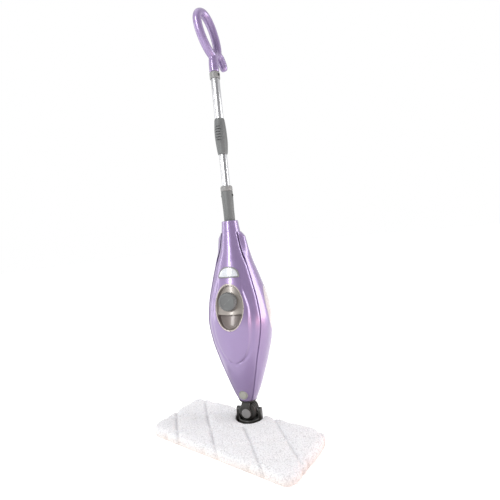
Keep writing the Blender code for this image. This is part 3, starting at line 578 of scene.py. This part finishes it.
def tongue_reach(x, z):
    """How far (x, z) lies inside the raised tongue's edge; negative outside it."""
    if z <= TONGUE_TIP_Z:
        return -math.hypot(x, TONGUE_TIP_Z - z)
    if z >= TONGUE_SIDE_Z:
        half = TONGUE_HALF * (1 - 0.38 * smooth_step(z, TONGUE_SIDE_Z, TONGUE_TOP_Z))
    else:
        drop = (z - TONGUE_TIP_Z) / (TONGUE_SIDE_Z - TONGUE_TIP_Z)
        half = TONGUE_HALF * math.sin(math.acos((1 - drop) ** 1.25))
    return half - abs(x)


def tongue_rise(x, z):
    """The tongue's relief at (x, z): raised inside, a soft valley round its edge, a faint keel low down."""
    inside = tongue_reach(x, z)
    fade = 1 - smooth_step(z, 0.385, TONGUE_TOP_Z)
    raised = TONGUE_HEIGHT * smooth_step(inside, -0.0015, 0.0045)
    valley = VALLEY_DEPTH * math.exp(-(((inside + 0.0040) / 0.0050) ** 2))
    low_down = smooth_step(z, 0.205, 0.240) * (1 - smooth_step(z, 0.27, 0.30))
    keel = KEEL_HEIGHT * math.exp(-((x / 0.011) ** 2)) * low_down
    return (raised - valley + keel) * fade


def bead(turn, edge, z, height):
    """A rise of that height at the seam angle, fading out along the skin."""
    return height * math.exp(-(((turn - edge) * half_width(z) / BEAD_REACH) ** 2))


def make_front_shell():
    """Front shell: thin moulded skin that runs up into the neck, with the panel's and button's openings."""
    steps = 96
    rings = []
    for z in spread(BODY_BOTTOM, BODY_TOP, 230):
        edge = seam_angle(z)
        turns = [-edge + 2 * edge * i / steps for i in range(steps + 1)]
        outer = []
        for t in turns:
            x = body_point(t, z, 0.0, True)[0]
            dip = bead(abs(t), edge, z, FRONT_BEAD)
            outer.append(body_point(t, z, dip - tongue_rise(x, z), True))
        inner = [body_point(t, z, WALL + 0.0010, True) for t in reversed(turns)]
        rings.append(outer + inner)
    shell = scratch(loft_mesh("front_shell_skin", rings))
    neck = neck_profile(NECK_PROFILE) + NECK_BORE
    neck_rings = [[(r * math.cos(a), r * math.sin(a), z) for a in full_turn(72)] for r, z in neck]
    combine(shell, scratch(loft_mesh("neck_ring", neck_rings, closed=True)), "UNION")
    opening = ellipse_outline(0, PANEL_MIDDLE, PANEL_HALF_WIDTH, PANEL_HALF_HEIGHT)
    combine(shell, prism_cutter("panel_opening", opening, -0.12, -0.02, "y"), "DIFFERENCE")
    hole = ellipse_outline(0, BUTTON_Z, *BUTTON_HOLE, 64)
    combine(shell, prism_cutter("button_opening", hole, -0.06, -0.012, "y"), "DIFFERENCE")
    finish_shell(shell, "front_casing", "front_shell")


def neck_profile(profile):
    """The neck's outline with smooth points between the given ones."""
    stations = [(z, r) for r, z in profile]
    return [(smooth_between(stations, z), z) for z in spread(stations[0][0], stations[-1][0], 22)]


def finish_shell(shell, name, node):
    ease_edges(shell, CASING_EDGE, 40.0)
    add_piece(name, taken_mesh(shell), "steam_unit", "lavender_plastic", node)


def make_rear_shell():
    """Rear shell: wraps the sides and back, with shoulders against the neck."""
    steps = 110
    rings = []
    for z in [*spread(BODY_BOTTOM, SHOULDER_Z, 200), *spread(SHOULDER_Z + 0.0015, 0.5615, 12)]:
        first = seam_angle(z) + SEAM_GAP / half_width(z)
        last = 2 * math.pi - first
        slope = max(0.0, (z - SHOULDER_Z) / 0.0158) ** 1.25
        filled = share_of(z, 0.480, 0.505)
        turns = [first + (last - first) * i / steps for i in range(steps + 1)]
        outer = []
        for t in turns:
            lip = bead(min(t, 2 * math.pi - t), first, z, REAR_BEAD) * (1 - filled)
            skin = Vector(body_point(t, z, -lip))
            neck = Vector(body_point(t, z, -0.0018, True))
            ramp = smooth_step(min(t, 2 * math.pi - t) - first, 0.0, 0.55)
            skin = neck.lerp(skin, 1 - smooth_step(z, 0.470, 0.505) * (1 - ramp))
            outer.append(skin.lerp(neck, slope))
        inner = []
        for t in reversed(turns):
            thin = Vector(body_point(t, z, WALL))
            neck = Vector(body_point(t, z, -0.0006, True))
            inner.append(thin.lerp(neck, filled) if (neck - thin).dot(thin) < 0 else thin)
        rings.append(outer + inner)
    shell = scratch(loft_mesh("rear_shell_skin", rings))
    back = body_point(math.pi, HOOK_Z)[1]
    rim = [(HOOK_SEAT * math.cos(a), HOOK_Z - HOOK_SEAT * math.sin(a)) for a in full_turn(40)]
    seat = [[(x, y, z) for x, z in rim] for y in (back - 0.003, back + 0.0033)]
    combine(shell, scratch(loft_mesh("hook_seat", seat)), "UNION")
    window = ellipse_outline(WINDOW_Y, WINDOW_Z, WINDOW_HALF_Y, WINDOW_HALF_Z)
    combine(shell, prism_cutter("window_opening", window, 0.030, 0.12, "x"), "DIFFERENCE")
    gland = ellipse_outline(0, GLAND_Z, GLAND_HOLE, GLAND_HOLE, 40)
    combine(shell, prism_cutter("gland_opening", gland, 0.02, 0.12, "y"), "DIFFERENCE")
    finish_shell(shell, "rear_casing", "rear_shell")


def make_window():
    """The translucent level window, flush in the rear shell."""
    rings = []
    for z in spread(0.275, 0.412, 70):
        turns = [math.radians(50) + math.radians(90) * i / 60 for i in range(61)]
        outer = [body_point(t, z, 0.0004) for t in turns]
        inner = [body_point(t, z, 0.0022) for t in reversed(turns)]
        rings.append(outer + inner)
    window = scratch(loft_mesh("window_skin", rings))
    shape = ellipse_outline(WINDOW_Y, WINDOW_Z, WINDOW_HALF_Y - 0.0004, WINDOW_HALF_Z - 0.0004)
    combine(window, prism_cutter("window_shape", shape, 0.030, 0.12, "x"), "INTERSECT")
    ease_edges(window, 0.0005, 40.0)
    add_piece("level_window", taken_mesh(window), "steam_unit", "window_plastic", "water_window")


# ---------------------------------------------------------------- smooth copies of CAD nodes


def welded_copy(node, merge_flat=True):
    """The node's mesh with its split corners joined and, if asked, its flat triangles merged."""
    mesh = NODES[node].data.copy()
    work = bmesh.new()
    work.from_mesh(mesh)
    bmesh.ops.remove_doubles(work, verts=work.verts, dist=2e-6)
    if merge_flat:
        bmesh.ops.dissolve_limit(work, angle_limit=math.radians(0.5), verts=work.verts, edges=work.edges)
    bmesh.ops.recalc_face_normals(work, faces=work.faces)
    work.to_mesh(mesh)
    work.free()
    return mesh


def copy_node(node, name, width):
    """A finished copy of a hard CAD node: eased edges and smooth round faces."""
    obj = add_piece(name, welded_copy(node), BODY_OF[node], SLOT_OF[node], node)
    ease_edges(obj, width)


def soften(obj, voxel, rounds):
    """For pieces whose moulded forms flow into each other."""
    remeshed(obj, voxel, rounds)
    shade_by_angle(obj.data, 180.0)


COPIES = {
    "swivel_base": ("turntable", 0.0004), "swivel_cross": ("ribbed_barrel", 0.0003),
    "joint_yoke": ("yoke", 0.0006), "pivot_cap_front": ("pivot_cap_1", 0.0004),
    "pivot_cap_rear": ("pivot_cap_2", 0.0004), "lower_bezel": ("lower_ring", 0.0003),
    "badge_rim": ("badge_frame", 0.0003), "badge": ("blank_badge", 0.0003),
    "button_ring": ("button_surround", 0.0004), "release_button": ("head_release", 0.0006),
    "pump_sleeve": ("sleeve", 0.0004), "lower_collar": ("lower_ring_collar", 0.0005),
    "upper_collar": ("upper_ring_collar", 0.0005), "lower_tube": ("lower_pole", 0.0002),
    "upper_tube": ("upper_pole", 0.0002), "tube_button_left": ("pole_button_1", 0.0003),
    "tube_button_right": ("pole_button_2", 0.0003), "snap_button": ("pole_button_3", 0.0003),
    "cord_gland": ("inlet_gland", 0.0003), "cord_hook": ("swivel_hook", 0.0004),
    "head_cover": ("head_top", 0.0004), "head_plate": ("head_bottom", 0.0004),
}
SOFTENED = {"mid_grip": ("pole_grip", 0.0009, 3)}


def make_copies():
    for node, (name, width) in COPIES.items():
        copy_node(node, name, width)
    for node, (name, voxel, rounds) in SOFTENED.items():
        obj = add_piece(name, welded_copy(node, False), BODY_OF[node], SLOT_OF[node], node)
        soften(obj, voxel, rounds)
    for number in range(1, 5):
        copy_node(f"shell_screw_{number}", f"casing_screw_{number}", 0.0002)


# ---------------------------------------------------------------- the loop handle


def loop_line(turn):
    """(y, z) of the loop's middle line."""
    lengthwise, across = math.cos(turn), math.sin(turn)
    over = LOOP_HALF_WIDTH * (1 + 0.10 * lengthwise) * math.copysign(abs(across) ** 0.82, across)
    along = LOOP_HALF_LENGTH * lengthwise
    y = LOOP_CENTRE[0] - along * math.sin(LOOP_LEAN) + over * math.cos(LOOP_LEAN)
    return (y, LOOP_CENTRE[1] + along * math.cos(LOOP_LEAN) + over * math.sin(LOOP_LEAN))


def bar_mesh(name, line, closed=False):
    """A bar of oval section along (y, z, in-plane half size, half size across) points."""
    rings = []
    count = len(line)
    for i, (y, z, thick, wide) in enumerate(line):
        before = line[i - 1] if closed else line[max(i - 1, 0)]
        after = line[(i + 1) % count] if closed else line[min(i + 1, count - 1)]
        along = Vector((0, after[0] - before[0], after[1] - before[1])).normalized()
        over = along.cross(Vector((1, 0, 0)))
        middle = Vector((0, AXIS_Y + y, z))
        rings.append([
            middle + Vector((wide * math.cos(t), 0, 0)) + over * thick * math.sin(t) for t in full_turn(28)
        ])
    return outward(loft_mesh(name, rings, closed=closed, placed=False))


def make_handle():
    """The loop handle: the loop, its stem on the tube and its tail, flowing into each other."""
    loop = [(*loop_line(t), *LOOP_BAR) for t in full_turn(96)]
    handle = scratch(bar_mesh("loop", loop, closed=True))
    stem = [
        (0, 1.0025, 0.0128, 0.0128), (0, 1.006, 0.0140, 0.0140), (0, 1.030, 0.0134, 0.0132),
        (0.001, 1.052, 0.0118, 0.0112), (0.001, 1.062, 0.006, 0.006),
    ]
    tail = [
        (0.0215, 1.0600, 0.0100, 0.0112), (0.0330, 1.0490, 0.0115, 0.0120), (0.0400, 1.0370, 0.0115, 0.0120),
        (0.0440, 1.0270, 0.0108, 0.0114), (0.0462, 1.0210, 0.0080, 0.0085), (0.0468, 1.0195, 0.0040, 0.0050),
    ]
    combine(handle, scratch(bar_mesh("stem", stem)), "UNION")
    combine(handle, scratch(bar_mesh("tail", tail)), "UNION")
    soften(handle, HANDLE_VOXEL, 6)
    bore = [(0, 0.990, 0.0126, 0.0126), (0, 1.017, 0.0126, 0.0126)]
    combine(handle, scratch(bar_mesh("socket", bore)), "DIFFERENCE")
    mesh = taken_mesh(handle)
    shade_by_angle(mesh, 60.0)
    add_piece("loop_handle", mesh, "handle", "lavender_plastic", "handle_left", "handle_right")


# ---------------------------------------------------------------- the filler panel


def panel_depth(x, z):
    """How far the panel's face lies under the shell at (x, z): a rim, a seat for the cap, a scoop below."""
    reach = math.hypot(x / PANEL_HALF_WIDTH, (z - PANEL_MIDDLE) / PANEL_HALF_HEIGHT)
    seat = 0.0066 - 0.0030 * smooth_step(0.362 - z, 0.0, 0.362 - STEP_Z)
    scoop = 0.0100 * (1 - share_of(STEP_Z - z, 0.0, STEP_Z - PANEL_LOW)) ** 1.2 + 0.0008
    floor = seat + (scoop - seat) * smooth_step(STEP_Z - z, -0.0006, 0.0010)
    return (floor + PANEL_RIM) * (1 - smooth_step(reach, 0.880, 0.930)) - PANEL_RIM


def skin_at(x, z, inward):
    """The point of the front skin at (x, z), moved inwards."""
    angle = math.asin(min(max(x / half_width(z), -1.0), 1.0))
    return body_point(angle, z, inward, True)


def panel_place(turn, share):
    """(x, z) on the panel between its round hole (share 0) and its oval edge (share 1)."""
    edge_x = (PANEL_HALF_WIDTH - PANEL_GAP) * math.cos(turn)
    edge_z = PANEL_MIDDLE + (PANEL_HALF_HEIGHT - PANEL_GAP) * math.sin(turn)
    hole_x, hole_z = PANEL_HOLE * math.cos(turn), KNOB_Z + PANEL_HOLE * math.sin(turn)
    return hole_x + (edge_x - hole_x) * share, hole_z + (edge_z - hole_z) * share


def make_panel():
    """The oval filler panel, from the cap's hole out to its edge and back along its underside."""
    rings = []
    for share in spread(0.0, 1.0, 90):
        places = [panel_place(a, share) for a in full_turn(144)]
        rings.append([skin_at(x, z, panel_depth(x, z)) for x, z in places])
    for share in (1.0, 0.0):
        places = [panel_place(a, share) for a in full_turn(144)]
        rings.append([skin_at(x, z, PANEL_BACK) for x, z in places])
    mesh = outward(loft_mesh("panel", rings, closed=True))
    add_piece("oval_panel", mesh, "steam_unit", "taupe_plastic", "filler_panel")
    shade_by_angle(mesh, 40.0)


def make_panel_trim():
    """The oval's pale satin rim."""
    rings = []
    for a in full_turn(160):
        ring = []
        for k in full_turn(12):
            grow = 0.965 + 0.040 * math.cos(k)
            x = PANEL_HALF_WIDTH * grow * math.cos(a)
            z = PANEL_MIDDLE + PANEL_HALF_HEIGHT * (0.976 + 0.027 * math.cos(k)) * math.sin(a)
            ring.append(skin_at(x, z, -0.0010 - 0.0013 * math.sin(k)))
        rings.append(ring)
    mesh = outward(loft_mesh("panel_trim", rings, closed=True))
    add_piece("oval_trim", mesh, "steam_unit", "taupe_plastic", material=MATERIALS["trim"])
    shade_by_angle(mesh, 180.0)


def make_knob():
    """The tank's cap: a fluted knob with a rounded shoulder and a dished face, on its stem."""
    profile = (  # radius, height over the panel, share of the flutes' depth
        (0.0001, -0.0135, 0), (0.0105, -0.0135, 0), (0.0105, 0.0008, 0), (0.0205, 0.0010, 0.4),
        (0.0228, 0.0018, 1), (0.0232, 0.0040, 1), (0.0231, 0.0090, 1), (0.0228, 0.0128, 1),
        (0.0221, 0.0146, 0.8), (0.0209, 0.0159, 0.45), (0.0194, 0.0166, 0.15), (0.0178, 0.0168, 0),
        (0.0166, 0.0165, 0), (0.0158, 0.0158, 0), (0.0145, 0.0154, 0), (0.0080, 0.0151, 0),
        (0.0001, 0.0150, 0),
    )
    rings = []
    for radius, height, cut_in in profile:
        ring = []
        for a in full_turn(240):
            scallop = FLUTE_DEPTH * cut_in * max(0.0, math.cos(FLUTES * a)) ** 1.5
            r = radius * KNOB_SCALE - scallop
            ring.append((r * math.cos(a), KNOB_FACE_Y - height, KNOB_Z + r * math.sin(a)))
        rings.append(ring)
    mesh = outward(loft_mesh("knob", rings))
    add_piece("tank_cap", mesh, "water_cap", "dark_grey_plastic", "water_cap")
    shade_by_angle(mesh, 40.0)


# ---------------------------------------------------------------- the pad


def quilt_distance(x, y):
    """Distance to the nearest sewn line."""
    nearest = 1.0
    for degrees, spacing, offset in QUILT_LINES:
        a = math.radians(degrees)
        across = -x * math.sin(a) + y * math.cos(a)
        away = abs((across - offset + spacing / 2) % spacing - spacing / 2)
        nearest = min(nearest, away)
    return nearest


def simulate_pad(obj, sew):
    """Swells the pad by Cloth pressure; sewn lines, sole, pocket and joint opening are held."""
    group = obj.vertex_groups.new(name="held")
    for vertex in obj.data.vertices:
        group.add([vertex.index], sew(vertex), "REPLACE")
    cloth = obj.modifiers.new("cloth", "CLOTH")
    settings = cloth.settings
    settings.quality = 6
    settings.mass = 0.15
    settings.tension_stiffness = 12
    settings.compression_stiffness = 12
    settings.bending_stiffness = 0.6
    settings.use_pressure = True
    settings.uniform_pressure_force = 4.0
    settings.vertex_group_mass = "held"
    settings.effector_weights.gravity = 0.0
    cloth.collision_settings.use_collision = False
    scene = bpy.context.scene
    cloth.point_cache.frame_start = 1
    cloth.point_cache.frame_end = CLOTH_FRAMES
    for number in range(1, CLOTH_FRAMES + 1):
        scene.frame_set(number)
    settle(obj)
    scene.frame_set(1)
    obj.vertex_groups.clear()


def make_pad():
    """The quilted microfibre pad, a sock round the head with an opening at the joint."""
    low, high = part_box("cleaning_pad")
    obj = scratch(welded_copy("cleaning_pad", False))
    remeshed(obj, PAD_VOXEL)
    centre = Vector((0, AXIS_Y, 0))
    edge_x, edge_y, pocket_top = high.x - PAD_SKIN, high.y - PAD_SKIN, high.z - 0.0035

    def freedom(co):
        """1 on the pad's outer faces, 0 in the pocket, on the sole and round the joint opening."""
        if abs(co.x) < edge_x and abs(co.y) < edge_y and co.z < pocket_top:
            return 0.0
        from_hole = (Vector((co.x, co.y, 0)) - centre).length - PAD_HOLE
        return smooth_step(co.z, 0.0015, 0.008) * smooth_step(from_hole, 0.002, 0.014)

    start = [v.co.copy() for v in obj.data.vertices]
    free = [freedom(co) for co in start]

    def sew(vertex):
        line = smooth_step(quilt_distance(vertex.co.x, vertex.co.y), 0.0010, 0.0060)
        return 1.0 - 0.999 * free[vertex.index] * (0.15 + 0.85 * line)

    simulate_pad(obj, sew)
    for vertex, before, amount in zip(obj.data.vertices, start, free):
        move = vertex.co - before
        if move.length > MOST_SWELL:
            move *= MOST_SWELL / move.length
        vertex.co = before + move * amount
    made = obj.modifiers.new("subdivision", "SUBSURF")
    made.levels = 1
    made.render_levels = 1
    settle(obj)
    sew_and_fluff(obj.data, freedom, low.z)
    pad = add_piece("quilted_pad", taken_mesh(obj), "mop_head", "microfibre_pad", "cleaning_pad")
    shade_by_angle(pad.data, 180.0)


def sew_and_fluff(mesh, freedom, lowest):
    """Presses the sewn lines in and lifts tufts of pile on the outer faces."""
    mesh.update()
    moves = []
    for vertex in mesh.vertices:
        co = vertex.co
        line = math.exp(-((quilt_distance(co.x, co.y) / 0.0046) ** 2))
        tuft = noise.noise(co * 190.0) * 0.0009 + noise.noise(co * 420.0 + Vector((7, 3, 1))) * 0.0006
        swell = 0.0010 * noise.noise(co * 28.0)
        plump = 0.0016 * smooth_step(quilt_distance(co.x, co.y), 0.0, 0.022)
        moves.append(vertex.normal * (freedom(co) * (tuft + swell + plump - SEAM_DEPTH * line)))
    for vertex, move in zip(mesh.vertices, moves):
        vertex.co += move
        vertex.co.z = max(vertex.co.z, lowest)


# ---------------------------------------------------------------- studio


def make_camera():
    """The camera, from its own yaw, pitch and roll."""
    yaw, pitch, roll = (math.radians(a) for a in (CAMERA_YAW, CAMERA_PITCH, CAMERA_ROLL))
    ahead = Vector((-math.sin(yaw) * math.cos(pitch), math.cos(yaw) * math.cos(pitch), -math.sin(pitch)))
    level = Vector((math.cos(yaw), math.sin(yaw), 0))
    above = level.cross(ahead)
    right = level * math.cos(roll) + above * math.sin(roll)
    up = above * math.cos(roll) - level * math.sin(roll)
    data = bpy.data.cameras.new("camera")
    data.sensor_width = SENSOR
    data.lens = CAMERA_LENS
    data.clip_start, data.clip_end = 0.01, 60.0
    camera = bpy.data.objects.new("camera", data)
    camera.matrix_world = Matrix.Translation(CAMERA_AT) @ Matrix((right, up, -ahead)).transposed().to_4x4()
    bpy.context.scene.collection.objects.link(camera)
    bpy.context.scene.camera = camera


def area_light(name, at, aim, size, power, colour=(1, 1, 1)):
    data = bpy.data.lights.new(name, "AREA")
    data.shape = "RECTANGLE"
    data.size, data.size_y = size
    data.energy = power
    data.color = colour
    light = bpy.data.objects.new(name, data)
    light.location = at
    light.rotation_euler = (Vector(aim) - Vector(at)).to_track_quat("-Z", "Y").to_euler()
    bpy.context.scene.collection.objects.link(light)


def around_light(name, azimuth, distance, height, aim_height, size, power, colour=(1, 1, 1)):
    """An area light at an azimuth in degrees from the front towards +X."""
    turn = math.radians(azimuth)
    at = (distance * math.sin(turn), AXIS_Y - distance * math.cos(turn), height)
    area_light(name, at, (0, AXIS_Y, aim_height), size, power, colour)


def make_world():
    """White all round, falling off to grey on the side that the steam unit's front right faces."""
    world = bpy.data.worlds.new("studio")
    bpy.context.scene.world = world
    world.use_nodes = True
    tree = world.node_tree
    where = tree.nodes.new("ShaderNodeTexCoord")
    facing = tree.nodes.new("ShaderNodeVectorMath")
    facing.operation = "DOT_PRODUCT"
    turn = math.radians(DARK_SIDE)
    facing.inputs[1].default_value = (math.sin(turn), -math.cos(turn), 0)
    tree.links.new(where.outputs["Generated"], facing.inputs[0])
    level = tree.nodes.new("ShaderNodeMapRange")
    level.interpolation_type = "SMOOTHSTEP"
    level.inputs["From Min"].default_value = 0.05
    level.inputs["From Max"].default_value = 0.85
    level.inputs["To Min"].default_value = 1.0
    level.inputs["To Max"].default_value = 0.40
    tree.links.new(facing.outputs["Value"], level.inputs["Value"])
    background = tree.nodes["Background"]
    background.inputs["Color"].default_value = (1, 1, 1, 1)
    tree.links.new(level.outputs["Result"], background.inputs["Strength"])


def make_studio():
    """A pale floor, a hair below the pad's sole, with the world and the lights."""
    corners = [(x * FLOOR_HALF, y * FLOOR_HALF, -0.0005) for x, y in ((-1, -1), (1, -1), (1, 1), (-1, 1))]
    mesh = mesh_from("floor", corners, [(0, 1, 2, 3)], placed=False)
    floor = bpy.data.objects.new("floor", mesh)
    bpy.context.scene.collection.objects.link(floor)
    paint, _, shader = new_material("pale_floor", (0.93, 0.93, 0.93), 0.9)
    shader.inputs["Emission Color"].default_value = (1, 1, 1, 1)
    shader.inputs["Emission Strength"].default_value = 0.30
    mesh.materials.append(paint)
    make_world()
    around_light("key", 2, 2.3, 1.55, 0.48, (0.45, 1.7), 42)
    around_light("left_edge", -62, 2.2, 0.9, 0.42, (0.5, 1.8), 9)
    around_light("right_back", 122, 2.0, 0.75, 0.36, (0.7, 1.5), 22)
    around_light("rose_bounce", 98, 1.1, 0.10, 0.22, (0.9, 0.25), 2.2, (1.0, 0.40, 0.38))
    around_light("top", 20, 1.0, 3.2, 0.2, (2.2, 2.2), 12)
    bpy.context.scene.view_settings.view_transform = "Standard"


make_camera()
make_studio()
make_pad()
make_front_shell()
make_rear_shell()
make_window()
make_panel()
make_panel_trim()
make_knob()
make_handle()
make_copies()
for name, node in NODES.items():
    node.data.materials.clear()
    node.data.materials.append(MATERIALS[SLOT_OF[name]])
